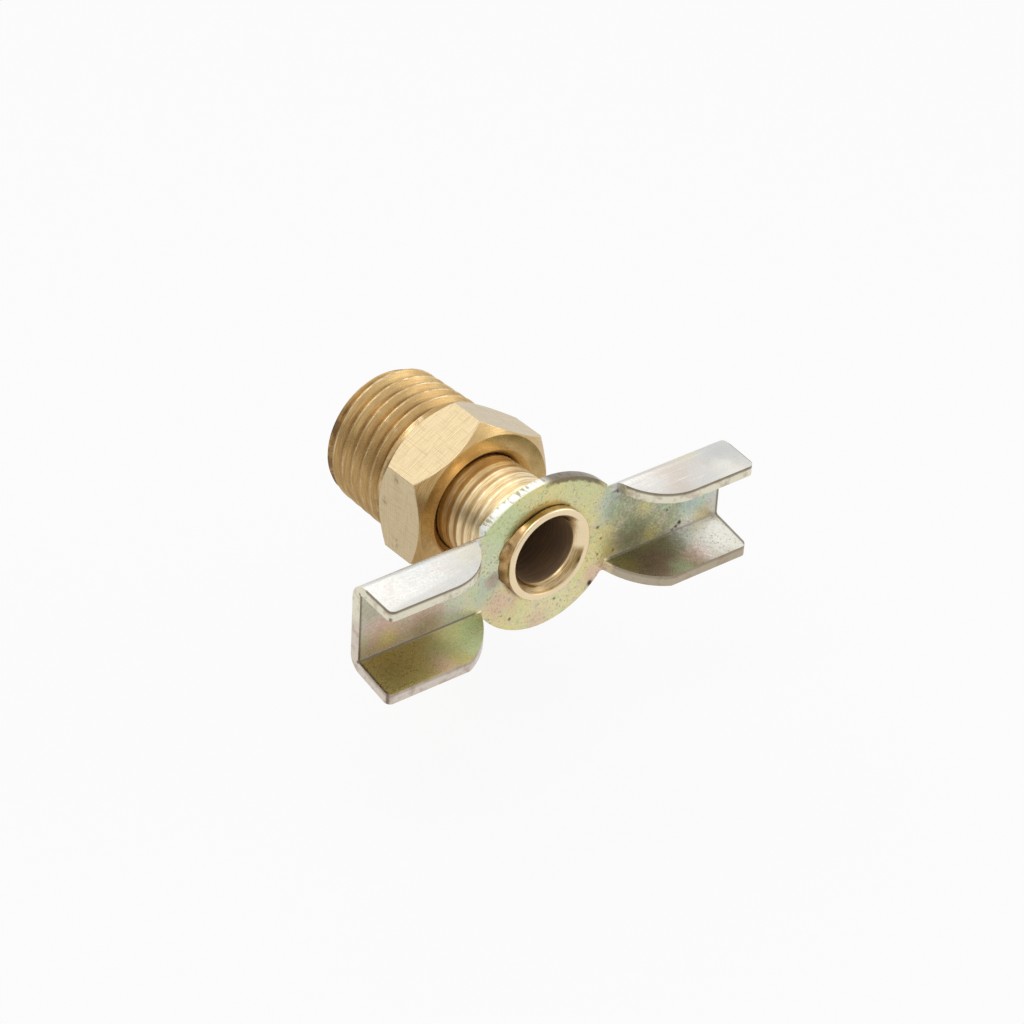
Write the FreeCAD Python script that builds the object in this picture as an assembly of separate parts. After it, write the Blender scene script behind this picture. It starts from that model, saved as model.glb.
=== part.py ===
import FreeCAD, Part
import math
import os

# A drain cock for a tank: a brass body with a tapered pipe thread and a hexagon, a hollow brass
# screw that closes on a cone seat inside it, and a stamped wing handle staked on the screw's nose.
# Frame: X along the wings, Y along the axis towards the tank, Z up. The origin is on the axis at
# the large end of the pipe thread. Sizes are in mm, angles in degrees. The valve is drawn closed.

# Body
hex_across_flats = 14.29
hex_length = 6.0
hex_chamfer_inset = 0.12
neck_diameter = 12.2
neck_length = 0.7
pipe_thread_diameter = 13.8
pipe_thread_length = 8.1
pipe_taper = 1.0 / 32.0
pipe_pitch = 25.4 / 18
pipe_groove_depth = 0.75
pipe_crest_width = 0.14
pipe_end_chamfer = 0.5
mouth_countersink = 0.7
seat_start = 3.4
inlet_diameter = 6.0
inlet_chamfer = 0.3

# Screw
screw_diameter = 9.525
screw_clearance = 0.06
screw_thread_end = 0.2
screw_end_chamfer = 0.4
waist_diameter = 7.8
outlet_diameter = 6.4
outlet_depth = 18.6
mouth_diameter = 7.8
mouth_depth = 0.9
cross_hole_diameter = 2.2
cross_hole_place = 1.7
tip_diameter = 4.8
seat_clearance = 0.06
nose_diameter = 8.2
nose_height = 0.8
lip_overhang = 0.42
lip_round = 0.2

# Seal ring on the tip of the screw
seal_section = 1.0
seal_mean_diameter = 6.9
seal_clearance = 0.03
groove_clearance = 0.02

# Wing handle
sheet = 1.0
handle_place = -14.3
handle_length = 40.2
web_height = 8.9
upper_bulge = 2.65
lower_bulge = 3.35
notch_place = 6.7
flange_depth = 4.3
upper_start = 7.9
upper_run = 5.3
upper_sweep = 1.2
lower_start = 6.9
lower_run = 4.4
lower_sweep = 0.65
tip_corner = 0.6
upper_lean = -6.0
lower_lean = 13.0
bend_inside = 0.3
bend_outside = 1.6
hole_clearance = 0.05

axis_origin = FreeCAD.Vector(0, 0, 0)
axis = FreeCAD.Vector(0, 1, 0)


def turned(profile):
    points = [FreeCAD.Vector(radius, place, 0) for radius, place in profile]
    face = Part.Face(Part.makePolygon(points + points[:1]))
    return face.revolve(axis_origin, axis, 360)


def along_axis(radius, start, end):
    return Part.makeCylinder(radius, end - start, FreeCAD.Vector(0, start, 0), axis)


# Places along the axis and radii that follow from the sizes
hex_back = -neck_length
hex_front = hex_back - hex_length
thread_large = pipe_thread_diameter / 2
screw_radius = screw_diameter / 2
bore_radius = screw_radius + screw_clearance
inlet_radius = inlet_diameter / 2
seat_sum = seat_start + bore_radius
handle_back = handle_place
handle_front = handle_back - sheet
nose_radius = nose_diameter / 2
nose_end = handle_front - nose_height

# Body: hexagon with both ends chamfered at 45 degrees, neck and tapered thread
corner_radius = hex_across_flats / math.sqrt(3)
chamfer_radius = hex_across_flats / 2 - hex_chamfer_inset
chamfer_rise = corner_radius + 1 - chamfer_radius
corners = []
for step in range(7):
    angle = math.radians(90 + 60 * step)
    corners.append(FreeCAD.Vector(corner_radius * math.cos(angle), hex_front,
                                  corner_radius * math.sin(angle)))
hexagon = Part.Face(Part.makePolygon(corners)).extrude(axis * hex_length)
hexagon = hexagon.common(turned([
    (0, hex_front),
    (chamfer_radius, hex_front),
    (chamfer_radius + chamfer_rise, hex_front + chamfer_rise),
    (chamfer_radius + chamfer_rise, hex_back - chamfer_rise),
    (chamfer_radius, hex_back),
    (0, hex_back),
]))


def pipe_crest(place):
    return thread_large - pipe_taper * place


def pipe_grooves(end):
    # The thread's turns as rings, each groove a V between two crests
    points = []
    reach = (pipe_pitch - pipe_crest_width) / 2
    root = pipe_pitch / 2
    while root + reach < end:
        points.append((pipe_crest(root - reach), root - reach))
        points.append((pipe_crest(root) - pipe_groove_depth, root))
        points.append((pipe_crest(root + reach), root + reach))
        root += pipe_pitch
    return points


crest_end = pipe_thread_length - pipe_end_chamfer
shank = turned([
    (0, hex_back),
    (neck_diameter / 2, hex_back),
    (neck_diameter / 2, 0),
    (thread_large, 0),
] + pipe_grooves(crest_end) + [
    (pipe_crest(crest_end), crest_end),
    (pipe_crest(crest_end) - pipe_end_chamfer, pipe_thread_length),
    (0, pipe_thread_length),
])
hollow = turned([
    (0, hex_front),
    (bore_radius + mouth_countersink, hex_front),
    (bore_radius, hex_front + mouth_countersink),
    (bore_radius, seat_start),
    (inlet_radius, seat_sum - inlet_radius),
    (inlet_radius, pipe_thread_length - inlet_chamfer),
    (inlet_radius + inlet_chamfer, pipe_thread_length),
    (0, pipe_thread_length),
])
valve_body = hexagon.fuse(shank).removeSplitter().cut(hollow)

# Seal ring: it sits clear of the seat cone, in a groove just behind the tip's own cone
seal_radius = seal_section / 2
seal_mean = seal_mean_diameter / 2
seal_place = seat_sum - seal_mean - (seal_radius + seal_clearance) * math.sqrt(2)
seal_section_points = []
for step in range(6):
    angle = math.radians(60 * step)
    seal_section_points.append((seal_mean + seal_radius * math.cos(angle),
                                seal_place + seal_radius * math.sin(angle)))
seal_ring = turned(seal_section_points)

# Screw: its fine thread as a cylinder at the crests, waist, groove, tip, and the nose staked over
# the handle
waist_radius = waist_diameter / 2
tip_radius = tip_diameter / 2
tip_sum = seat_sum - seat_clearance * math.sqrt(2)
groove_radius = seal_mean - seal_radius - groove_clearance
groove_start = seal_place - seal_radius - groove_clearance
groove_end = seal_place + seal_radius + groove_clearance
lip_radius = nose_radius + lip_overhang
outlet_radius = outlet_diameter / 2

stem = turned([
    (0, nose_end),
    (lip_radius - lip_round, nose_end),
    (lip_radius, nose_end + lip_round),
    (lip_radius, handle_front - lip_round),
    (lip_radius - lip_round, handle_front),
    (nose_radius, handle_front),
    (nose_radius, handle_back),
    (screw_radius - screw_end_chamfer, handle_back),
    (screw_radius, handle_back + screw_end_chamfer),
    (screw_radius, screw_thread_end - screw_end_chamfer),
    (screw_radius - screw_end_chamfer, screw_thread_end),
    (waist_radius, screw_thread_end),
    (waist_radius, groove_start),
    (groove_radius, groove_start),
    (groove_radius, groove_end),
    (tip_sum - groove_end, groove_end),
    (tip_radius, tip_sum - tip_radius),
    (0, tip_sum - tip_radius),
])
outlet = turned([
    (0, nose_end),
    (mouth_diameter / 2, nose_end),
    (outlet_radius, nose_end + mouth_depth),
    (outlet_radius, nose_end + outlet_depth),
    (0, nose_end + outlet_depth),
])
cross_hole = Part.makeCylinder(cross_hole_diameter / 2, screw_diameter,
                               FreeCAD.Vector(0, cross_hole_place, -screw_radius),
                               FreeCAD.Vector(0, 0, 1))
stem = stem.cut(outlet).cut(cross_hole)

# Wing handle: one wing is a bent channel, trimmed in plan; the other is its mirror image
web_half = web_height / 2
wing_end = handle_length / 2
wing_start = notch_place - sheet
flange_front = handle_front - flange_depth


def flange_edge(side, lean, inside):
    slope = math.tan(math.radians(lean))
    thick = sheet / math.cos(math.radians(lean))
    edge = []
    for depth in (0, sheet + flange_depth):
        edge.append((handle_back - depth, side * (web_half + slope * depth)))
    if inside:
        edge = []
        for depth in (sheet, sheet + flange_depth):
            edge.append((handle_back - depth, side * (web_half + slope * depth - thick)))
    return edge


upper_out = flange_edge(1, upper_lean, False)
upper_in = flange_edge(1, upper_lean, True)
lower_out = flange_edge(-1, lower_lean, False)
lower_in = flange_edge(-1, lower_lean, True)
section = upper_out + upper_in[::-1] + lower_in + lower_out[::-1]
points = [FreeCAD.Vector(wing_start, place, height) for place, height in section]
wing = Part.Face(Part.makePolygon(points + points[:1])).extrude(
    FreeCAD.Vector(wing_end - wing_start, 0, 0))


def edges_at(shape, spots):
    found = []
    for edge in shape.Edges:
        middle = edge.CenterOfMass
        for place, height in spots:
            near = math.hypot(middle.y - place, middle.z - height) < 0.01
            if near and edge.Length > 2 * tip_corner:
                found.append(edge)
    return found


wing = wing.makeFillet(bend_outside, edges_at(wing, [upper_out[0], lower_out[0]]))
wing = wing.makeFillet(bend_inside, edges_at(wing, [upper_in[0], lower_in[0]]))


def plan(x, y):
    return FreeCAD.Vector(x, y, 0)


def flange_plan(start, run, sweep):
    # One wing seen from above: its flange swells out of the web along an arc, then runs straight
    end = start + run
    chord = math.hypot(run, flange_depth)
    middle = plan(start + run / 2 - sweep * flange_depth / chord,
                  handle_front - flange_depth / 2 - sweep * run / chord)
    tip_circle = Part.Circle(plan(wing_end - tip_corner, flange_front + tip_corner),
                             FreeCAD.Vector(0, 0, 1), tip_corner)
    return Part.Face(Part.Wire([
        Part.makeLine(plan(wing_start, handle_front), plan(start, handle_front)),
        Part.Arc(plan(start, handle_front), middle, plan(end, flange_front)).toShape(),
        Part.makeLine(plan(end, flange_front), plan(wing_end - tip_corner, flange_front)),
        Part.Arc(tip_circle, 1.5 * math.pi, 2 * math.pi).toShape(),
        Part.makeLine(plan(wing_end, flange_front + tip_corner), plan(wing_end, handle_back)),
        Part.makeLine(plan(wing_end, handle_back), plan(wing_start, handle_back)),
        Part.makeLine(plan(wing_start, handle_back), plan(wing_start, handle_front)),
    ]))


upper_trim = flange_plan(upper_start, upper_run, upper_sweep).extrude(FreeCAD.Vector(0, 0, web_height))
lower_trim = flange_plan(lower_start, lower_run, lower_sweep).extrude(FreeCAD.Vector(0, 0, -web_height))
wing = wing.common(upper_trim.fuse(lower_trim)).removeSplitter()

# Centre plate: an arc above and below between the notches
centre_top = web_half + upper_bulge
centre_bottom = -web_half - lower_bulge


def spot(x, z):
    return FreeCAD.Vector(x, handle_front, z)


plate = Part.Face(Part.Wire([
    Part.Arc(spot(-notch_place, web_half), spot(0, centre_top), spot(notch_place, web_half)).toShape(),
    Part.makeLine(spot(notch_place, web_half), spot(notch_place, -web_half)),
    Part.Arc(spot(notch_place, -web_half), spot(0, centre_bottom), spot(-notch_place, -web_half)).toShape(),
    Part.makeLine(spot(-notch_place, -web_half), spot(-notch_place, web_half)),
])).extrude(axis * sheet)
other_wing = wing.mirror(axis_origin, FreeCAD.Vector(1, 0, 0))
wing_handle = plate.fuse([wing, other_wing]).removeSplitter()
wing_handle = wing_handle.cut(along_axis(nose_radius + hole_clearance, handle_front, handle_back))

os.makedirs("parts", exist_ok=True)
valve_body.exportStep("parts/valve_body.step")
stem.exportStep("parts/stem.step")
wing_handle.exportStep("parts/wing_handle.step")
seal_ring.exportStep("parts/seal_ring.step")
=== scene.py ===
import math
import bpy
from mathutils import Euler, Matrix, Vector


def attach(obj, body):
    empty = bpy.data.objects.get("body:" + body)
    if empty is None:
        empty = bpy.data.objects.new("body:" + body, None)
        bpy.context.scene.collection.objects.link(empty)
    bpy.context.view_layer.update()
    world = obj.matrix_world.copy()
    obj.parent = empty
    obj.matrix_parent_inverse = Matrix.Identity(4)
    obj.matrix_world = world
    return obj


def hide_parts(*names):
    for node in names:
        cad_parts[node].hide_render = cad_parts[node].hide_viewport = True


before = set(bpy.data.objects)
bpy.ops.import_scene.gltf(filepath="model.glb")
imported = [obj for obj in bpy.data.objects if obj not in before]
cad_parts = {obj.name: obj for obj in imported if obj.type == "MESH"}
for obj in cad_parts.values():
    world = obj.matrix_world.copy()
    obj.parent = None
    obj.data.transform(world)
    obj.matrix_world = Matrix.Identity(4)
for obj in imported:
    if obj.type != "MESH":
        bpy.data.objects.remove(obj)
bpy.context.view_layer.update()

scene = bpy.context.scene
mm = 0.001
hair = 0.001  # mm, for telling places on a profile apart
weldGap = 0.000002


def deselectAll():
    if bpy.context.object and bpy.context.object.mode != "OBJECT":
        bpy.ops.object.mode_set(mode="OBJECT")
    bpy.ops.object.select_all(action="DESELECT")


# A turned piece: its profile is drawn point by point in the half plane, then spun about the axis
def spinProfile(name, profile, columns):
    deselectAll()
    bpy.ops.mesh.primitive_plane_add(size=mm)
    piece = bpy.context.object
    piece.name = name
    bpy.ops.object.mode_set(mode="EDIT")
    bpy.ops.mesh.select_all(action="SELECT")
    bpy.ops.mesh.merge(type="CENTER")
    bpy.ops.transform.translate(value=(0, profile[0][1] * mm, profile[0][0] * mm))
    for (radius, place), (nextRadius, nextPlace) in zip(profile, profile[1:]):
        step = (0, (nextPlace - place) * mm, (nextRadius - radius) * mm)
        bpy.ops.mesh.extrude_vertices_move(TRANSFORM_OT_translate={"value": step})
    bpy.ops.mesh.select_all(action="SELECT")
    bpy.ops.mesh.spin(steps=columns, angle=2 * math.pi, center=(0, 0, 0), axis=(0, 1, 0))
    bpy.ops.mesh.select_all(action="SELECT")
    bpy.ops.mesh.remove_doubles(threshold=weldGap)
    bpy.ops.mesh.normals_make_consistent(inside=False)
    bpy.ops.object.mode_set(mode="OBJECT")
    return piece


def stretch(start, end, count):
    return [start + (end - start) * step / count for step in range(count + 1)]


# How deep the thread is cut at a place and angle: 0 on the crest and 1 in the root
def threadCut(place, angle, pitch, crest, root):
    turn = place / pitch - angle / (2 * math.pi)
    away = abs(2 * (turn - math.floor(turn)) - 1)
    return min(1.0, max(0.0, (1 - away - crest) / (1 - crest - root)))


def fade(value, start, end):
    t = min(1.0, max(0.0, (value - start) / (end - start)))
    return t * t * (3 - 2 * t)


def setPoints(piece, name, values):
    attribute = piece.data.attributes.new(name, "FLOAT", "POINT")
    attribute.data.foreach_set("value", values)


def smoothPiece(piece, degrees):
    deselectAll()
    piece.select_set(True)
    bpy.context.view_layer.objects.active = piece
    bpy.ops.object.shade_smooth_by_angle(angle=math.radians(degrees))


print("stage: valve body")
bodySizes = {
    "flats": 14.29, "hexFront": -6.7, "hexBack": -0.7, "inset": 0.12,
    "neck": 6.1, "runOut": 0.45, "neckRound": 0.1, "neckEnd": -0.45,
    "threadLarge": 6.9, "taper": 1 / 32, "threadEnd": 8.1, "endChamfer": 0.5, "threadFloor": 5.6,
    "bore": 4.8225, "countersink": 0.7, "seatStart": 3.4, "inlet": 3.0, "inletChamfer": 0.3,
    "pitch": 25.4 / 18, "depth": 0.75, "crestShare": 0.07, "rootShare": 0.05, "runIn": (-0.3, 0.5),
    "rowsPerTurn": 34, "columns": 240, "edge": 0.07, "smooth": 32,
}


def makeBody(s):
    flat = s["flats"] / 2
    ring = flat - s["inset"]
    corner = s["flats"] / math.sqrt(3)
    rise = corner - ring
    middle = (s["hexFront"] + s["hexBack"]) / 2
    half = (s["hexBack"] - s["hexFront"]) / 2
    crestEnd = s["threadLarge"] - s["taper"] * (s["threadEnd"] - s["endChamfer"])
    profile = [(s["bore"], s["hexFront"] + s["countersink"])]
    profile += [(s["bore"] + s["countersink"] - s["edge"], s["hexFront"] + s["edge"])]
    profile += [(s["bore"] + s["countersink"] + s["edge"], s["hexFront"])]
    profile += [(ring - s["edge"], s["hexFront"])]
    profile += [(ring + t, s["hexFront"] + t) for t in stretch(0.0, rise, 8)]
    profile += [(corner, y) for y in stretch(s["hexFront"] + rise, s["hexBack"] - rise, 10)[1:]]
    profile += [(ring + rise - t, s["hexBack"] - rise + t) for t in stretch(0.0, rise, 8)[1:]]
    neck = s["neck"] + s["runOut"]
    profile += [(neck + s["neckRound"], s["hexBack"]), (neck, s["hexBack"] + s["neckRound"])]
    profile += [(neck, s["neckEnd"])]
    threadRows = int((s["threadEnd"] - s["endChamfer"]) / s["pitch"] * s["rowsPerTurn"])
    for y in stretch(0.0, s["threadEnd"] - s["endChamfer"], threadRows):
        profile.append((s["threadLarge"] - s["taper"] * y, y))
    for t in stretch(0.0, s["endChamfer"], 8)[1:]:
        profile.append((crestEnd - t, s["threadEnd"] - s["endChamfer"] + t))
    profile += [(s["inlet"] + s["inletChamfer"], s["threadEnd"])]
    profile += [(s["inlet"], s["threadEnd"] - s["inletChamfer"])]
    profile += [(s["inlet"], s["seatStart"] + s["bore"] - s["inlet"]), (s["bore"], s["seatStart"])]
    profile += [profile[0]]
    piece = spinProfile("valveBody", profile, s["columns"])
    groove = []
    sawn = []
    for vertex in piece.data.vertices:
        place = vertex.co.y / mm
        radius = math.hypot(vertex.co.x, vertex.co.z) / mm
        angle = math.atan2(vertex.co.x, vertex.co.z)
        cut = 0.0
        onFlat = 0.0
        if place < s["hexBack"] + hair and radius > ring - hair:
            sixth = (angle + math.pi) % (math.pi / 3) - math.pi / 6
            across = flat / math.cos(sixth)
            share = (across - ring) / rise
            newRadius = ring + (radius - ring) * share
            inner = half - rise
            offset = place - middle
            if abs(offset) <= inner + hair / 2:
                offset *= (half - rise * share) / inner
                onFlat = 1.0
            else:
                beyond = abs(offset) - inner
                offset = math.copysign(half - (rise - beyond) * share, offset)
            place = middle + offset
        elif -hair < place < s["threadEnd"] - hair and radius > s["threadFloor"]:
            cone = s["threadLarge"] - s["taper"] * place
            cut = threadCut(place, angle, s["pitch"], s["crestShare"], s["rootShare"])
            cut *= fade(place, *s["runIn"])
            newRadius = min(radius, cone - s["depth"] * cut)
        else:
            newRadius = radius
        if radius > 0:
            vertex.co.x *= newRadius / radius
            vertex.co.z *= newRadius / radius
        vertex.co.y = place * mm
        groove.append(cut)
        sawn.append(onFlat)
    setPoints(piece, "groove", groove)
    setPoints(piece, "sawn", sawn)
    smoothPiece(piece, s["smooth"])
    return piece


valveBody = makeBody(bodySizes)

print("stage: screw")
screwSizes = {
    "crest": 4.7625, "pitch": 25.4 / 24, "depth": 0.06, "crestShare": 0.02, "rootShare": 0.05,
    "threadStart": -14.3, "threadShown": -3.4, "fadeIn": 0.3, "fadeOut": 0.6, "rowsPerTurn": 24,
    "threadEnd": 0.2, "chamfer": 0.4, "waist": 3.9,
    "nose": 4.1, "noseEnd": -16.1, "plateFront": -15.3, "wallFrom": 4.2,
    "lip": 4.52, "lipRound": 0.2, "mouth": 3.9, "mouthDepth": 0.9, "mouthSoft": (0.06, 0.05, 0.04),
    "outlet": 3.2, "outletEnd": 2.5, "outletRows": 24, "boreGap": 0.02,
    "grooveFloor": 2.93, "grooveStart": 3.503, "grooveEnd": 4.543, "tipSum": 8.1376, "tip": 2.4,
    "crossHole": 1.1, "crossPlace": 1.7, "drillSides": 48, "columns": 208, "smooth": 32,
    "stake": 0.85, "stakeTop": (24, 66), "stakeLow": (95, 120), "stakeBend": 1.4,
    "stakeWaves": ((0.12, 9), (0.07, 23)),
}


def makeScrew(s):
    profile = [(0.0, s["outletEnd"]), (s["outlet"], s["outletEnd"])]
    mouthStart = s["noseEnd"] + s["mouthDepth"]
    long, middle, short = s["mouthSoft"]
    profile += [(s["outlet"], y) for y in stretch(s["outletEnd"], mouthStart + long, s["outletRows"])[1:]]
    profile += [(s["outlet"] + middle, mouthStart - long)]
    profile += [(s["mouth"] - short, s["noseEnd"] + middle), (s["mouth"] + middle, s["noseEnd"])]
    for t in stretch(0.0, math.pi / 2, 4):
        radius = s["lip"] - s["lipRound"] * (1 - math.sin(t))
        profile.append((radius, s["noseEnd"] + s["lipRound"] * (1 - math.cos(t))))
    stakeStart = s["noseEnd"] + s["lipRound"]
    profile += [(s["lip"], y) for y in stretch(stakeStart, s["plateFront"] - s["lipRound"] / 2, 6)[1:]]
    profile += [(s["lip"] - s["lipRound"], s["plateFront"]), (s["nose"], s["plateFront"])]
    profile += [(s["nose"], s["threadStart"]), (s["crest"] - s["chamfer"], s["threadStart"])]
    rows = int((s["threadShown"] - s["threadStart"]) / s["pitch"] * s["rowsPerTurn"])
    for y in stretch(s["threadStart"], s["threadShown"], rows)[1:]:
        profile.append((min(s["crest"], s["crest"] - s["chamfer"] + y - s["threadStart"]), y))
    profile += [(s["crest"], s["threadEnd"] - s["chamfer"])]
    profile += [(s["crest"] - s["chamfer"], s["threadEnd"]), (s["waist"], s["threadEnd"])]
    profile += [(s["waist"], s["grooveStart"]), (s["grooveFloor"], s["grooveStart"])]
    profile += [(s["grooveFloor"], s["grooveEnd"]), (s["tipSum"] - s["grooveEnd"], s["grooveEnd"])]
    profile += [(s["tip"], s["tipSum"] - s["tip"]), (0.0, s["tipSum"] - s["tip"])]
    piece = spinProfile("screwStem", profile, s["columns"])
    groove = []
    inside = []
    for vertex in piece.data.vertices:
        place = vertex.co.y / mm
        radius = math.hypot(vertex.co.x, vertex.co.z) / mm
        angle = math.atan2(vertex.co.x, vertex.co.z)
        cut = 0.0
        if radius > s["wallFrom"] and s["threadStart"] + hair < place < s["threadShown"] + hair:
            along = place - s["threadStart"] - s["chamfer"]
            cut = threadCut(along, angle, s["pitch"], s["crestShare"], s["rootShare"])
            cut *= fade(place, s["threadStart"], s["threadStart"] + s["fadeIn"])
            cut *= 1 - fade(place, s["threadShown"] - s["fadeOut"], s["threadShown"])
            newRadius = min(radius, s["crest"] - s["depth"] * cut)
            vertex.co.x *= newRadius / radius
            vertex.co.z *= newRadius / radius
        elif radius > s["wallFrom"] and stakeStart < place < s["plateFront"] + hair:
            # Brass pressed out over the plate on one side, where the nose was staked
            turn = -math.degrees(angle)
            swell = fade(turn, *s["stakeTop"]) * (1 - fade(turn, *s["stakeLow"]))
            swell *= s["stake"] + sum(size * math.sin(count * angle) for size, count in s["stakeWaves"])
            share = (place - stakeStart) / (s["plateFront"] - stakeStart)
            newRadius = radius + swell * share ** s["stakeBend"]
            vertex.co.x *= newRadius / radius
            vertex.co.z *= newRadius / radius
        groove.append(cut)
        inBore = radius < s["outlet"] + s["boreGap"] and place < s["outletEnd"] + s["boreGap"]
        inside.append(1.0 if inBore else 0.0)
    setPoints(piece, "groove", groove)
    setPoints(piece, "inside", inside)
    deselectAll()
    bpy.ops.mesh.primitive_cylinder_add(
        vertices=s["drillSides"], radius=s["crossHole"] * mm, depth=4 * s["waist"] * mm,
        location=(0, s["crossPlace"] * mm, 0))
    drill = bpy.context.object
    deselectAll()
    piece.select_set(True)
    bpy.context.view_layer.objects.active = piece
    hole = piece.modifiers.new("crossHole", "BOOLEAN")
    hole.object = drill
    hole.operation = "DIFFERENCE"
    hole.solver = "EXACT"
    bpy.ops.object.modifier_apply(modifier=hole.name)
    bpy.data.objects.remove(drill)
    smoothPiece(piece, s["smooth"])
    return piece


screwStem = makeScrew(screwSizes)

print("stage: wing handle")
handleSizes = {"edge": 0.16, "segments": 3, "sharp": 32, "flatWithin": 0.6, "smooth": 40}


def makeHandle(s):
    deselectAll()
    piece = bpy.data.objects.new("wingHandle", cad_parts["wing_handle"].data.copy())
    scene.collection.objects.link(piece)
    piece.data.transform(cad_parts["wing_handle"].matrix_world)
    piece.data.materials.clear()
    piece.select_set(True)
    bpy.context.view_layer.objects.active = piece
    bpy.ops.object.mode_set(mode="EDIT")
    bpy.ops.mesh.select_all(action="SELECT")
    bpy.ops.mesh.remove_doubles(threshold=weldGap)
    bpy.ops.mesh.dissolve_limited(angle_limit=math.radians(s["flatWithin"]))
    bpy.ops.object.mode_set(mode="OBJECT")
    bevel = piece.modifiers.new("softEdge", "BEVEL")
    bevel.width = s["edge"] * mm
    bevel.segments = s["segments"]
    bevel.limit_method = "ANGLE"
    bevel.angle_limit = math.radians(s["sharp"])
    bpy.ops.object.modifier_apply(modifier=bevel.name)
    smoothPiece(piece, s["smooth"])
    setPoints(piece, "level", [abs(vertex.normal.z) for vertex in piece.data.vertices])
    return piece


wingHandle = makeHandle(handleSizes)

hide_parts("valve_body")
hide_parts("stem")
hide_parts("wing_handle")
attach(valveBody, "body")
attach(screwStem, "screw")
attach(wingHandle, "screw")

print("stage: materials")


class Look:
    def __init__(self, name):
        self.material = bpy.data.materials.new(name)
        self.material.use_nodes = True
        self.tree = self.material.node_tree
        self.shader = self.tree.nodes["Principled BSDF"]
        self.place = self.tree.nodes.new("ShaderNodeTexCoord").outputs["Object"]

    def put(self, socket, value):
        if hasattr(value, "is_linked"):
            self.tree.links.new(value, socket)
        elif isinstance(value, tuple) and len(value) == 3 and len(socket.default_value) == 4:
            socket.default_value = value + (1.0,)
        else:
            socket.default_value = value

    def maths(self, kind, first, second=0.0, clamp=False):
        node = self.tree.nodes.new("ShaderNodeMath")
        node.operation = kind
        node.use_clamp = clamp
        self.put(node.inputs[0], first)
        self.put(node.inputs[1], second)
        return node.outputs[0]

    def times(self, first, *others):
        for other in others:
            first = self.maths("MULTIPLY", first, other)
        return first

    def noise(self, scale, detail=3.0, rough=0.55, stretched=None, moved=(0.0, 0.0, 0.0)):
        node = self.tree.nodes.new("ShaderNodeTexNoise")
        mapping = self.tree.nodes.new("ShaderNodeMapping")
        mapping.inputs["Scale"].default_value = stretched or (1.0, 1.0, 1.0)
        mapping.inputs["Location"].default_value = moved
        self.put(mapping.inputs["Vector"], self.place)
        self.put(node.inputs["Vector"], mapping.outputs["Vector"])
        node.inputs["Scale"].default_value = scale
        node.inputs["Detail"].default_value = detail
        node.inputs["Roughness"].default_value = rough
        return node.outputs["Fac"]

    def step(self, value, low, high, bottom=0.0, top=1.0):
        node = self.tree.nodes.new("ShaderNodeMapRange")
        node.interpolation_type = "SMOOTHSTEP"
        self.put(node.inputs["Value"], value)
        node.inputs["From Min"].default_value = low
        node.inputs["From Max"].default_value = high
        node.inputs["To Min"].default_value = bottom
        node.inputs["To Max"].default_value = top
        return node.outputs["Result"]

    def mix(self, share, first, second):
        node = self.tree.nodes.new("ShaderNodeMix")
        node.data_type = "RGBA"
        self.put(node.inputs["Factor"], share)
        self.put(node.inputs[6], first)
        self.put(node.inputs[7], second)
        return node.outputs[2]

    def axis(self, name):
        node = self.tree.nodes.new("ShaderNodeSeparateXYZ")
        self.put(node.inputs[0], self.place)
        return node.outputs[name]

    # Distance from a line along one axis, in metres
    def fromLine(self, names, places):
        sides = []
        for name, place in zip(names, places):
            offset = self.maths("SUBTRACT", self.axis(name), place * mm)
            sides.append(self.maths("MULTIPLY", offset, offset))
        return self.maths("SQRT", self.maths("ADD", sides[0], sides[1]))

    def value(self, name):
        node = self.tree.nodes.new("ShaderNodeAttribute")
        node.attribute_name = name
        return node.outputs["Fac"]

    def blob(self, centre, radius, soft):
        node = self.tree.nodes.new("ShaderNodeVectorMath")
        node.operation = "DISTANCE"
        self.put(node.inputs[0], self.place)
        node.inputs[1].default_value = tuple(c * mm for c in centre)
        away = self.maths("ADD", node.outputs["Value"], self.maths("MULTIPLY", self.wobble, soft * mm))
        return self.step(away, (radius + soft) * mm, (radius - soft) * mm)

    def finish(self, colour, roughness, bump, strength, depth, softEdge=0.0):
        self.put(self.shader.inputs["Base Color"], colour)
        self.put(self.shader.inputs["Roughness"], roughness)
        node = self.tree.nodes.new("ShaderNodeBump")
        node.inputs["Strength"].default_value = strength
        node.inputs["Distance"].default_value = depth
        self.put(node.inputs["Height"], bump)
        if softEdge:
            edge = self.tree.nodes.new("ShaderNodeBevel")
            edge.samples = 4
            edge.inputs["Radius"].default_value = softEdge
            self.put(node.inputs["Normal"], edge.outputs["Normal"])
        self.put(self.shader.inputs["Normal"], node.outputs["Normal"])
        return self.material


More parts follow.
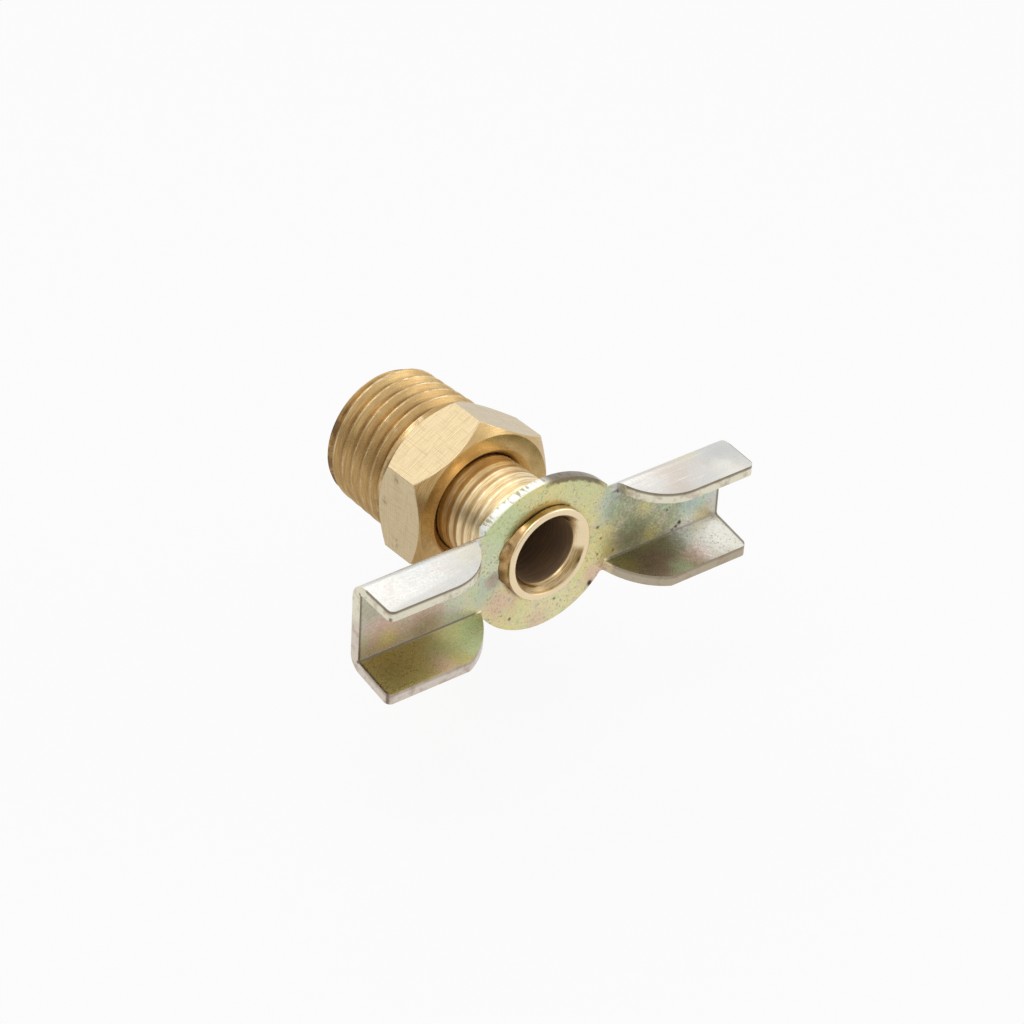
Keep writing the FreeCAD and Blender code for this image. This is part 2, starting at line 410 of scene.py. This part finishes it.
brassColours = {
    "bodyLight": (0.60, 0.42, 0.19), "bodyMid": (0.48, 0.31, 0.13),
    # stemLight and stemMid are the screw's brass made paler than the body's, partly its own tone and partly
    # painted highlight
    "stemLight": (0.90, 0.72, 0.43), "stemMid": (0.80, 0.60, 0.32), "sawn": (0.585, 0.48, 0.30),
    "scratch": (0.34, 0.22, 0.10), "dirt": (0.16, 0.09, 0.03), "old": (0.12, 0.07, 0.04),
    # crest and stemCrestHighlight are painted highlights along the thread crests; crest also lightens the
    # nicks on the hexagon
    "crest": (0.82, 0.66, 0.42), "stemCrestHighlight": (0.98, 0.87, 0.63), "cream": (0.82, 0.67, 0.45),
    # mouth is painted shade in the mouth cone
    "mouth": (0.25, 0.15, 0.045), "patinaAndShade": (0.36, 0.22, 0.085),
    "bore": (0.29, 0.195, 0.125), "boreLight": (0.46, 0.30, 0.15), "side": (0.40, 0.235, 0.09),
}
brassPlaces = {
    "tankEnd": (6.8, 8.0), "tankDirt": (6.0, 2.0), "rim": (5.5, 6.2),
    "neckShade": (1.2, 0.2), "behindHex": (-0.9, -0.6), "lowSide": (1.0, -2.0),
    "smudges": [((-7.1, -3.4, -3.2), 0.5), ((-7.1, -3.2, 3.4), 0.35), ((-7.1, -1.6, 0.4), 0.25)],
    "noseWall": (4.05, 4.25), "noseStart": (-15.2, -15.4), "noseFace": (-16.02, -15.90),
    "mouthShadeEdge": (3.95, 3.80), "paintedGlint": (3.3, -15.7, 0.9), "paintedGlintSize": 1.7,
    "patinaShadeSide": (-2.0, -6.0), "nickSize": 0.16,
    "stakePits": [((-5.1, -15.5, 1.1), 0.3), ((-5.2, -15.4, -0.5), 0.6), ((-5.0, -15.4, -1.4), 0.6),
                  ((-3.2, -15.4, 3.9), 0.25)],
    "nicks": [(-3.7, 5.2, 5.7), (-3.8, 3.8, 5.6), (-4.0, 2.4, 5.5), (-4.2, 1.0, 5.3), (-5.2, 3.7, 4.3)],
}


# Noise as scale, detail and roughness, then a stretch; a line is the width of the painted highlight along a
# thread crest
brassValues = {
    "patches": (230, 5, 0.6), "nicks": (1100, 4, 0.65),
    "turned": (460, 4, 0.7, (1.0, 22.0, 1.0)), "sawn": (460, 3, 0.6, (18.0, 1.0, 18.0)),
    "marks": (520, 4, 0.75, (1.0, 18.0, 1.0)), "rings": (420, 4, 0.7, (1.0, 16.0, 1.0)),
    "bodyHighlightLine": 0.16, "bodyDirt": 0.6, "bodyGloss": (0.20, 0.36), "bodyBump": (0.28, 0.00003, 0.0001),
    "stemHighlightLine": 0.40, "stemDirt": 0.06, "stemGloss": (0.20, 0.34), "stemBump": (0.18, 0.00003),
    "threadDull": 0.10, "boreDull": 0.5, "boreMetal": 0.5,
}


def brassBase(look, light, mid, crest, line, dirt):
    look.shader.inputs["Metallic"].default_value = 1.0
    patches = look.noise(*brassValues["patches"])
    look.wobble = look.maths("SUBTRACT", patches, 0.5)
    colour = look.mix(look.step(patches, 0.36, 0.66), mid, light)
    groove = look.value("groove")
    nicks = look.noise(*brassValues["nicks"])
    root = look.times(look.step(groove, 0.50, 1.0), look.step(nicks, 0.25, 0.6, 0.3 * dirt, dirt))
    colour = look.mix(root, colour, brassColours["dirt"])
    # Painted highlight: a thin light line along each thread crest
    edge = look.times(look.step(groove, 0.0, 0.012), look.step(groove, line, 0.3 * line),
                      look.step(nicks, 0.40, 0.60, 0.15, 0.9))
    return look.mix(edge, colour, crest), nicks


# A soft step between two places in mm
def between(look, value, ends, top=1.0, bottom=0.0):
    return look.step(value, ends[0] * mm, ends[1] * mm, bottom, top)


# Body: fine saw marks both ways on the hexagon's flats, and old dirt where it sat in the tank
def brassBodyLook():
    c = brassColours
    p = brassPlaces
    v = brassValues
    look = Look("brassBody")
    colour, nicks = brassBase(
        look, c["bodyLight"], c["bodyMid"], c["crest"], v["bodyHighlightLine"], v["bodyDirt"])
    place = look.axis("Y")
    height = look.axis("Z")
    flat = look.value("sawn")
    offFlat = look.step(flat, 1.0, 0.0)
    turned = look.noise(*v["turned"])
    sawn = look.noise(*v["sawn"])
    marks = look.maths("MAXIMUM", look.step(turned, 0.53, 0.64), look.step(sawn, 0.54, 0.64))
    colour = look.mix(look.times(flat, 0.85), colour, c["sawn"])
    # Painted highlight along the arrises where the hexagon's flats meet its chamfers
    arrisHighlight = look.times(look.step(flat, 0.05, 0.4), look.step(flat, 0.98, 0.7, 0.0, 0.6))
    colour = look.mix(arrisHighlight, colour, c["cream"])
    for centre in p["nicks"]:
        colour = look.mix(look.times(look.blob(centre, p["nickSize"], 0.2), 0.8), colour, c["crest"])
    colour = look.mix(look.times(marks, look.step(flat, 0.0, 1.0, 0.34, 0.28)), colour, c["scratch"])
    # Patina on the left side of the body, deepened with painted shade
    old = look.times(between(look, look.axis("X"), p["patinaShadeSide"], 0.8), offFlat)
    colour = look.mix(look.times(old, look.step(turned, 0.35, 0.6, 0.4, 1.0)), colour, c["patinaAndShade"])
    spots = look.step(nicks, 0.40, 0.58)
    rim = between(look, look.fromLine("XZ", (0.0, 0.0)), p["rim"], 1.0, 0.12)
    end = look.times(between(look, place, p["tankEnd"], 0.85), between(look, height, p["tankDirt"]))
    colour = look.mix(look.times(end, rim, spots), colour, c["old"])
    # Painted shade in the neck behind the hexagon, on the low side, in the old-dirt colour
    neck = look.times(between(look, place, p["neckShade"], 0.7), between(look, height, p["lowSide"]))
    neck = look.times(neck, offFlat, between(look, place, p["behindHex"]))
    colour = look.mix(look.times(neck, spots), colour, c["old"])
    for centre, radius in p["smudges"]:
        colour = look.mix(look.times(look.blob(centre, radius, 0.4), spots, 0.7), colour, c["old"])
    roughness = look.step(turned, 0.3, 0.7, *v["bodyGloss"])
    grain = look.maths("ADD", turned, look.times(sawn, 0.7))
    return look.finish(colour, roughness, grain, *v["bodyBump"])


# Screw: turning marks on the thread, a bright nose with a brown staked wall,
# a mouth darkened by painted shade but for a painted glint, and a dull bore
def brassStemLook():
    c = brassColours
    p = brassPlaces
    v = brassValues
    look = Look("brassStem")
    colour, nicks = brassBase(
        look, c["stemLight"], c["stemMid"], c["stemCrestHighlight"], v["stemHighlightLine"], v["stemDirt"])
    place = look.axis("Y")
    away = look.fromLine("XZ", (0.0, 0.0))
    nose = between(look, place, p["noseStart"])
    marks = look.step(look.noise(*v["marks"]), 0.46, 0.62, 0.0, 0.5)
    colour = look.mix(look.times(marks, look.step(look.value("groove"), 0.1, 0.4)), colour, c["scratch"])
    colour = look.mix(look.times(nose, 0.8), colour, c["cream"])
    wall = look.times(nose, between(look, away, p["noseWall"]), between(look, place, p["noseFace"]))
    spots = look.step(nicks, 0.35, 0.60, 0.65, 1.0)
    colour = look.mix(look.times(wall, spots), colour, c["side"])
    for centre, radius in p["stakePits"]:
        colour = look.mix(look.times(look.blob(centre, radius, 0.3), wall), colour, c["dirt"])
    rings = look.noise(*v["rings"])
    # Painted shade on the mouth cone, left out in a painted glint on its lit side
    paintedGlint = look.step(look.blob(p["paintedGlint"], p["paintedGlintSize"], 0.5), 0.0, 1.0, 1.0, 0.0)
    mouth = look.times(nose, between(look, away, p["mouthShadeEdge"]), paintedGlint)
    mouth = look.times(mouth, look.step(rings, 0.40, 0.62, 0.95, 0.6))
    colour = look.mix(mouth, colour, c["mouth"])
    bore = look.value("inside")
    colour = look.mix(bore, colour, look.mix(look.step(rings, 0.42, 0.70), c["bore"], c["boreLight"]))
    look.put(look.shader.inputs["Metallic"], look.step(bore, 0.0, 1.0, 1.0, v["boreMetal"]))
    thread = look.step(nose, 0.0, 1.0, v["threadDull"], 0.0)
    turned = look.maths("ADD", look.step(rings, 0.3, 0.7, *v["stemGloss"]), thread)
    roughness = look.maths("MAXIMUM", turned, look.times(bore, v["boreDull"]))
    return look.finish(colour, roughness, rings, *v["stemBump"])


zincColours = {
    "silver": (0.58, 0.57, 0.53), "white": (0.66, 0.65, 0.62), "tip": (0.84, 0.82, 0.74),
    "tan": (0.60, 0.52, 0.45), "mist": (0.53, 0.57, 0.57), "yellow": (0.72, 0.64, 0.30),
    "cream": (0.76, 0.69, 0.44), "green": (0.50, 0.61, 0.36), "teal": (0.38, 0.50, 0.46),
    "pink": (0.68, 0.44, 0.36), "olive": (0.52, 0.43, 0.17), "brown": (0.34, 0.23, 0.17),
    "dusk": (0.25, 0.28, 0.18), "moss": (0.34, 0.31, 0.19), "bright": (0.72, 0.71, 0.67),
    "grey": (0.36, 0.38, 0.23), "pale": (0.60, 0.66, 0.53), "stain": (0.15, 0.11, 0.075),
    "speck": (0.17, 0.13, 0.07), "creaseShade": (0.10, 0.075, 0.05), "edge": (0.44, 0.38, 0.28),
    "edgeTop": (0.76, 0.72, 0.57), "edgeLeft": (0.66, 0.58, 0.50),
    "pit": (0.03, 0.02, 0.015),
}
# Colour bands of the plating: tone, centre in mm, radius, softness and share
platePatches = [
    ("yellow", (0.0, -15.3, 0.0), 9.0, 1.6, 0.95),
    ("cream", (1.0, -15.3, -6.0), 3.0, 1.8, 0.6),
    ("green", (-4.6, -15.3, 4.2), 2.6, 1.6, 0.75),
    ("pale", (-6.0, -15.3, 0.8), 1.8, 1.4, 0.7),
    ("teal", (-6.6, -15.3, -1.6), 1.6, 1.2, 0.6),
    ("green", (3.6, -15.3, 5.4), 1.8, 1.4, 0.5),
    # painted shade on the plate below the staked shoulder
    ("brown", (-5.7, -15.3, -0.9), 0.7, 0.5, 0.75),
    ("pink", (6.2, -15.3, -5.0), 1.5, 1.0, 0.75),
    ("pink", (-4.7, -15.3, -3.8), 1.6, 1.1, 0.65),
    ("pink", (-0.4, -15.3, -7.2), 1.2, 0.9, 0.5),
    ("teal", (7.8, -15.3, 2.4), 2.0, 1.4, 0.8),
    ("brown", (8.6, -15.3, 2.6), 0.9, 0.8, 0.45),
    ("grey", (12.0, -15.3, 0.2), 4.4, 1.8, 0.85),
    ("dusk", (10.2, -15.3, -1.6), 1.7, 1.1, 0.7),
    ("yellow", (11.4, -15.3, 0.4), 0.9, 0.8, 0.55),
    ("yellow", (12.2, -15.3, -2.9), 0.9, 0.6, 0.6),
    ("teal", (14.6, -15.3, 0.8), 1.8, 1.2, 0.6),
    ("dusk", (15.0, -15.3, -1.4), 1.2, 0.9, 0.4),
    ("teal", (17.2, -15.3, -1.2), 1.7, 1.2, 0.7),
    ("pale", (19.4, -15.3, 0.6), 1.6, 1.2, 0.8),
    ("olive", (18.4, -15.3, -3.2), 1.2, 0.8, 0.6),
    ("tan", (-15.0, -15.3, 0.0), 5.6, 1.4, 0.7),
    ("grey", (-18.8, -15.3, 1.6), 1.5, 1.0, 0.5),
    ("pink", (-17.4, -15.3, -1.6), 1.9, 1.1, 0.6),
    ("yellow", (-16.9, -15.3, -2.4), 0.9, 0.6, 0.7),
    ("pink", (-13.0, -15.3, -0.6), 2.4, 1.3, 0.55),
    ("brown", (-12.6, -15.3, -2.6), 1.4, 0.9, 0.5),
    ("cream", (-10.8, -15.3, 1.0), 1.2, 0.9, 0.6),
    ("green", (-9.2, -15.3, 0.0), 1.4, 1.0, 0.7),
    ("teal", (-8.0, -15.3, 0.8), 1.2, 0.9, 0.5),
]
lowerPatches = [
    ("olive", (8.2, -17.0, -4.2), 1.5, 0.9, 0.7),
    ("brown", (11.2, -17.8, -4.3), 1.9, 1.0, 0.9),
    ("green", (12.8, -19.3, -4.7), 1.2, 0.8, 0.6),
    ("bright", (16.8, -16.6, -4.0), 2.4, 1.4, 0.85),
    ("pink", (14.6, -18.4, -4.4), 0.9, 0.9, 0.55),
    ("pink", (16.2, -18.2, -4.4), 0.9, 0.9, 0.55),
    ("tip", (18.8, -17.8, -4.4), 2.5, 1.4, 0.95),
    ("green", (-8.8, -17.2, -4.4), 2.6, 1.4, 0.85),
    ("grey", (-12.4, -16.8, -4.3), 1.8, 1.2, 0.5),
    ("pink", (-13.8, -18.8, -4.9), 1.2, 0.9, 0.5),
    ("yellow", (-11.0, -15.8, -4.0), 1.4, 0.8, 0.45),
]
upperPatches = [
    ("tan", (12.6, -17.6, 4.0), 2.6, 1.8, 0.75),
    ("mist", (18.4, -16.6, 4.0), 2.0, 1.4, 0.5),
    # painted highlight near the outer front corner
    ("tip", (17.4, -19.2, 3.8), 1.8, 1.2, 0.7),
    ("yellow", (15.6, -14.8, 4.4), 1.2, 0.8, 0.4),
    # the two white patches below are painted highlights near the web and along the front edge
    ("white", (10.4, -17.4, 4.0), 1.4, 1.2, 0.9),
    ("white", (15.0, -19.0, 3.8), 1.8, 1.0, 0.8),
    ("cream", (-9.4, -16.4, 4.2), 1.4, 1.2, 0.3),
    ("mist", (-15.4, -15.0, 4.3), 2.2, 1.2, 0.4),
]
# Dark pits in the plating: centre in mm and radius
zincPits = [
    ((5.4, -15.3, -5.5), 0.28), ((6.9, -15.3, -4.8), 0.18), ((5.9, -15.3, 0.2), 0.11),
    ((6.4, -15.3, -1.1), 0.12), ((6.1, -15.3, -2.7), 0.10), ((7.9, -15.3, -3.0), 0.10),
    ((15.6, -15.3, -2.9), 0.24), ((15.2, -15.3, -3.2), 0.13), ((14.8, -15.3, -3.4), 0.11),
    ((14.0, -15.3, -1.0), 0.10), ((1.4, -15.3, -5.6), 0.08), ((-3.6, -15.3, -5.8), 0.08),
]
zincPlaces = {
    "creaseLow": (-15.3, -3.65), "creaseHigh": (-15.3, 3.34), "creaseShadeWidth": (0.24, 0.06),
    "upper": (3.0, 3.5), "lower": (-3.45, -3.75), "wings": (6.9, 7.7), "edges": (-15.9, -16.3),
    "endLine": (19.75, 19.95), "endFace": (20.08, 20.0), "noseRingShadow": (5.0, 4.45), "ringShadowSide": (3.0, -1.0),
    "arcCentre": (0.0, -2.695), "arcStain": (9.20, 9.50), "stainWobble": 0.4,
    "stainStart": (-0.6, 0.6), "stainEnd": (6.8, 5.4), "stainTop": (2.0, 3.0),
    "flanges": [(5.953, 0.1051, (0.0, 1.0), 0.8), (-0.122, 0.2309, (0.0, -1.0), 0.4)],
    "outline": (0.40, 0.16), "creaseShadeFade": (18.0, 12.0),
    "rimFront": (-15.26, -15.14), "rimBack": (-14.3, -14.42), "rimReach": (7.2, 6.6),
    "lowerTurn": (-3.0, 3.0), "speckLeft": (-9.0, -6.0),
    "leatherFrom": (6.0, 9.0), "leatherTo": (17.5, 14.5),
    "edgeTurn": (-1.0, 1.0), "edgeRise": (0.0, 1.0),
}
zincValues = {
    "cloud": (520, 5, 0.68), "mottle": (900, 3, 0.6, None, (0.3, 0.1, 0.2)), "grain": (4200, 3, 0.75),
    "scratches": (260, 3, 0.6, (1.0, 24.0, 1.0)), "streaks": (700, 3, 0.6, (4.0, 1.0, 1.0)),
    "wobble": 3.0, "pitSoft": 0.17, "gloss": (0.24, 0.42), "foldDull": 0.7, "bump": (0.42, 0.00005),
}


def plated(look, colour, patches):
    for tone, centre, radius, soft, share in patches:
        colour = look.mix(look.times(look.blob(centre, radius, soft), share), colour, zincColours[tone])
    return colour


# Zinc: the plate and webs, then both kinds of flange, then what lies along edges and folds
def zincLook():
    c = zincColours
    p = zincPlaces
    v = zincValues
    look = Look("zincPlate")
    look.shader.inputs["Metallic"].default_value = 1.0
    cloud = look.noise(*v["cloud"])
    look.wobble = look.times(look.maths("SUBTRACT", cloud, 0.5), v["wobble"])
    mottle = look.noise(*v["mottle"])
    grain = look.noise(*v["grain"])
    x, y, z = (look.axis(name) for name in "XYZ")
    across = look.maths("ABSOLUTE", x)
    out = between(look, across, p["wings"])
    base = look.mix(look.step(cloud, 0.40, 0.70, 0.0, 0.6), c["silver"], c["tan"])
    colour = plated(look, base, platePatches)
    colour = look.mix(look.step(mottle, 0.54, 0.66, 0.0, 0.40), colour, c["green"])
    colour = look.mix(look.step(mottle, 0.46, 0.34, 0.0, 0.35), colour, c["tan"])

    lower = plated(look, look.mix(between(look, x, p["lowerTurn"]), c["olive"], c["moss"]), lowerPatches)
    colour = look.mix(look.times(between(look, z, p["lower"]), out), colour, lower)
    upper = look.mix(look.step(cloud, 0.40, 0.70, 0.0, 0.35), c["white"], c["tan"])
    upper = plated(look, upper, upperPatches)
    scratches = look.noise(*v["scratches"])
    upper = look.mix(look.step(scratches, 0.60, 0.68, 0.0, 0.6), upper, c["tip"])
    top = look.times(between(look, z, p["upper"]), out)
    colour = look.mix(top, colour, upper)

    # Fine specks, and a leathery grain on the right web
    speck = look.times(look.step(grain, 0.53, 0.68), look.step(cloud, 0.35, 0.65, 0.15, 0.75),
                       look.step(top, 0.0, 1.0, 1.0, 0.1), between(look, x, p["speckLeft"], 1.0, 0.5))
    leather = look.times(look.step(grain, 0.42, 0.60), between(look, x, p["leatherFrom"], 0.35),
                         between(look, x, p["leatherTo"]), look.step(top, 0.5, 0.0))
    colour = look.mix(look.maths("MAXIMUM", speck, leather), colour, c["speck"])

    # The disc's bare rim, and the stain along the top of its face
    rim = look.times(between(look, y, p["rimFront"]), between(look, y, p["rimBack"]),
                     between(look, across, p["rimReach"]))
    streaks = look.step(look.noise(*v["streaks"]), 0.50, 0.62)
    colour = look.mix(rim, colour, look.mix(streaks, c["bright"], c["moss"]))
    ragged = look.times(look.wobble, p["stainWobble"] * mm)
    away = look.maths("ADD", look.fromLine("XZ", p["arcCentre"]), ragged)
    stain = look.times(between(look, away, p["arcStain"], 0.85), between(look, x, p["stainStart"]),
                       between(look, x, p["stainEnd"]), between(look, z, p["stainTop"]))
    colour = look.mix(stain, colour, c["stain"])

    # Cut edges of the flanges, with a dark line along each
    front = between(look, y, p["edges"])
    edge = look.times(look.step(look.value("level"), 0.80, 0.45), front)
    edge = look.maths("MAXIMUM", edge, between(look, across, p["endFace"][::-1]))
    edgeTone = look.mix(between(look, x, p["edgeTurn"]), c["edgeLeft"], c["edge"])
    edgeTone = look.mix(between(look, z, p["edgeRise"]), edgeTone, c["edgeTop"])
    edgeTone = look.mix(look.step(mottle, 0.50, 0.66, 0.0, 0.45), edgeTone, c["brown"])
    colour = look.mix(edge, colour, edgeTone)
    for start, slope, side, share in p["flanges"]:
        under = look.maths("ADD", look.times(y, slope), start * mm)
        under = look.maths("SUBTRACT", under, z)
        line = look.times(between(look, under, p["outline"], share), between(look, z, side))
        colour = look.mix(look.times(line, edge, front), colour, c["stain"])

    # Painted shade in the folds, the lines at the wings' ends, a painted shadow ring around the nose and
    # the pits
    # Painted shade along the inner bends of the folds, which also dulls them
    foldShade = look.maths("MAXIMUM", between(look, look.fromLine("YZ", p["creaseLow"]), p["creaseShadeWidth"], 0.85),
                      between(look, look.fromLine("YZ", p["creaseHigh"]), p["creaseShadeWidth"], 0.6))
    foldShade = look.times(foldShade, out, between(look, x, p["creaseShadeFade"], 1.0, 0.8))
    colour = look.mix(foldShade, colour, c["creaseShade"])
    ends = look.times(between(look, across, p["endLine"], 0.8), between(look, across, p["endFace"]))
    colour = look.mix(look.times(ends, look.step(top, 0.6, 0.2)), colour, c["stain"])
    # Painted shadow ring on the plate around the nose, darker on the left
    ring = look.times(between(look, look.fromLine("XZ", (0.0, 0.0)), p["noseRingShadow"]),
                      between(look, x, p["ringShadowSide"], 0.5, 0.2))
    colour = look.mix(ring, colour, look.mix(look.step(cloud, 0.45, 0.60), c["stain"], c["brown"]))
    for centre, radius in zincPits:
        colour = look.mix(look.blob(centre, radius, v["pitSoft"]), colour, c["pit"])
    gloss = look.step(grain, 0.3, 0.7, *v["gloss"])
    roughness = look.maths("MAXIMUM", gloss, look.times(foldShade, v["foldDull"]))
    rough = look.times(grain, look.step(top, 0.0, 1.0, 1.0, 0.2))
    height = look.maths("ADD", look.times(cloud, 0.5), rough)
    return look.finish(colour, roughness, height, *v["bump"])


rubberValues = {
    "dust": (1800, 3, 0.6), "black": (0.012, 0.012, 0.012), "grey": (0.035, 0.034, 0.032),
    "gloss": (0.5, 0.75), "bump": (0.2, 0.00003),
}


def rubberLook():
    v = rubberValues
    look = Look("sealRubber")
    dust = look.noise(*v["dust"])
    colour = look.mix(look.step(dust, 0.35, 0.70), v["black"], v["grey"])
    return look.finish(colour, look.step(dust, 0.3, 0.7, *v["gloss"]), dust, *v["bump"])


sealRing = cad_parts["seal_ring"]
sealRing.data.materials.clear()
sealRing.data.materials.append(rubberLook())
valveBody.data.materials.append(brassBodyLook())
screwStem.data.materials.append(brassStemLook())
wingHandle.data.materials.append(zincLook())

print("stage: light and camera")
# Lamps: place, size and power; cards, seen only in the metal: place, size and grey
lightValues = [
    ("topLight", (0.03, 0.20, 0.235), (0.34, 0.17), 0.135),
    ("keyLight", (-0.10, -0.06, 0.26), (0.16, 0.16), 0.16),
    ("fillLight", (0.20, -0.16, 0.10), (0.16, 0.16), 0.08),
]
cardValues = [
    ("backCard", (-0.21, 0.17, 0.040), (0.46, 0.15), 0.35),
    ("frontCard", (-0.06, -0.30, 0.012), (0.34, 0.06), 0.04),
]
lightAim = Vector((0, -0.008, 0))
cardAim = Vector((0, 0, 0))

for name, spot, size, power in lightValues:
    lamp = bpy.data.lights.new(name, "AREA")
    lamp.shape = "RECTANGLE"
    lamp.size, lamp.size_y = size
    lamp.energy = power
    holder = bpy.data.objects.new(name, lamp)
    holder.location = spot
    holder.rotation_euler = (lightAim - Vector(spot)).to_track_quat("-Z", "Y").to_euler()
    scene.collection.objects.link(holder)


def dullPaint(name, tone):
    paint = bpy.data.materials.new(name)
    paint.use_nodes = True
    shader = paint.node_tree.nodes["Principled BSDF"]
    shader.inputs["Base Color"].default_value = (tone, tone, tone, 1.0)
    shader.inputs["Roughness"].default_value = 1.0
    return paint


# 1 for rays of the named kinds, and 0 for the rest
def rayShare(tree, kinds):
    rays = tree.nodes.new("ShaderNodeLightPath")
    share = rays.outputs[kinds[0]]
    for kind in kinds[1:]:
        either = tree.nodes.new("ShaderNodeMath")
        either.operation = "MAXIMUM"
        tree.links.new(share, either.inputs[0])
        tree.links.new(rays.outputs[kind], either.inputs[1])
        share = either.outputs[0]
    return share


for name, spot, size, tone in cardValues:
    deselectAll()
    bpy.ops.mesh.primitive_plane_add(size=1)
    card = bpy.context.object
    card.name = name
    card.scale = (size[0], size[1], 1)
    card.location = spot
    card.rotation_euler = (cardAim - Vector(spot)).to_track_quat("Z", "Y").to_euler()
    card.visible_camera = False
    card.data.materials.append(dullPaint(name, tone))

# White floor: bright for the camera and for metal, with a faint shadow of the object.
# It lies low enough for the wings to turn over it.
floorValues = {"height": -0.0214, "size": 3.0, "shine": 0.88, "tone": 0.9}
deselectAll()
bpy.ops.mesh.primitive_plane_add(size=floorValues["size"], location=(0, 0, floorValues["height"]))
floor = bpy.context.object
floor.name = "whiteFloor"
floorPaint = dullPaint("whiteFloor", floorValues["tone"])
floorTree = floorPaint.node_tree
floorShare = floorTree.nodes.new("ShaderNodeMath")
floorShare.operation = "MULTIPLY"
floorTree.links.new(rayShare(floorTree, ["Is Camera Ray", "Is Glossy Ray"]), floorShare.inputs[0])
floorShare.inputs[1].default_value = floorValues["shine"]
floorGlow = floorTree.nodes.new("ShaderNodeEmission")
floorMix = floorTree.nodes.new("ShaderNodeMixShader")
floorTree.links.new(floorShare.outputs[0], floorMix.inputs[0])
floorTree.links.new(floorTree.nodes["Principled BSDF"].outputs[0], floorMix.inputs[1])
floorTree.links.new(floorGlow.outputs[0], floorMix.inputs[2])
floorTree.links.new(floorMix.outputs[0], floorTree.nodes["Material Output"].inputs["Surface"])
floor.data.materials.append(floorPaint)

# White room: full strength where it is seen, less where it lights the object
roomValues = {"seen": 1.0, "light": 0.6}
room = bpy.data.worlds.new("whiteRoom")
scene.world = room
room.use_nodes = True
roomTree = room.node_tree
background = roomTree.nodes["Background"]
background.inputs["Color"].default_value = (1.0, 1.0, 1.0, 1.0)
strength = roomTree.nodes.new("ShaderNodeMapRange")
strength.inputs["To Min"].default_value = roomValues["light"]
strength.inputs["To Max"].default_value = roomValues["seen"]
roomRays = rayShare(roomTree, ["Is Camera Ray", "Is Glossy Ray", "Is Transmission Ray"])
roomTree.links.new(roomRays, strength.inputs["Value"])
roomTree.links.new(strength.outputs["Result"], background.inputs["Strength"])

cameraValues = {
    "lens": 140.625, "sensor": 36.0, "nearest": 0.01,
    "place": (-0.187772, -0.232614, 0.195031), "turn": (56.305, -2.725, -38.406),
}
cameraData = bpy.data.cameras.new("photoCamera")
cameraData.lens = cameraValues["lens"]
cameraData.sensor_width = cameraValues["sensor"]
cameraData.clip_start = cameraValues["nearest"]
camera = bpy.data.objects.new("photoCamera", cameraData)
camera.location = cameraValues["place"]
camera.rotation_euler = Euler([math.radians(a) for a in cameraValues["turn"]], "XYZ")
scene.collection.objects.link(camera)
scene.camera = camera
scene.view_settings.view_transform = "Standard"
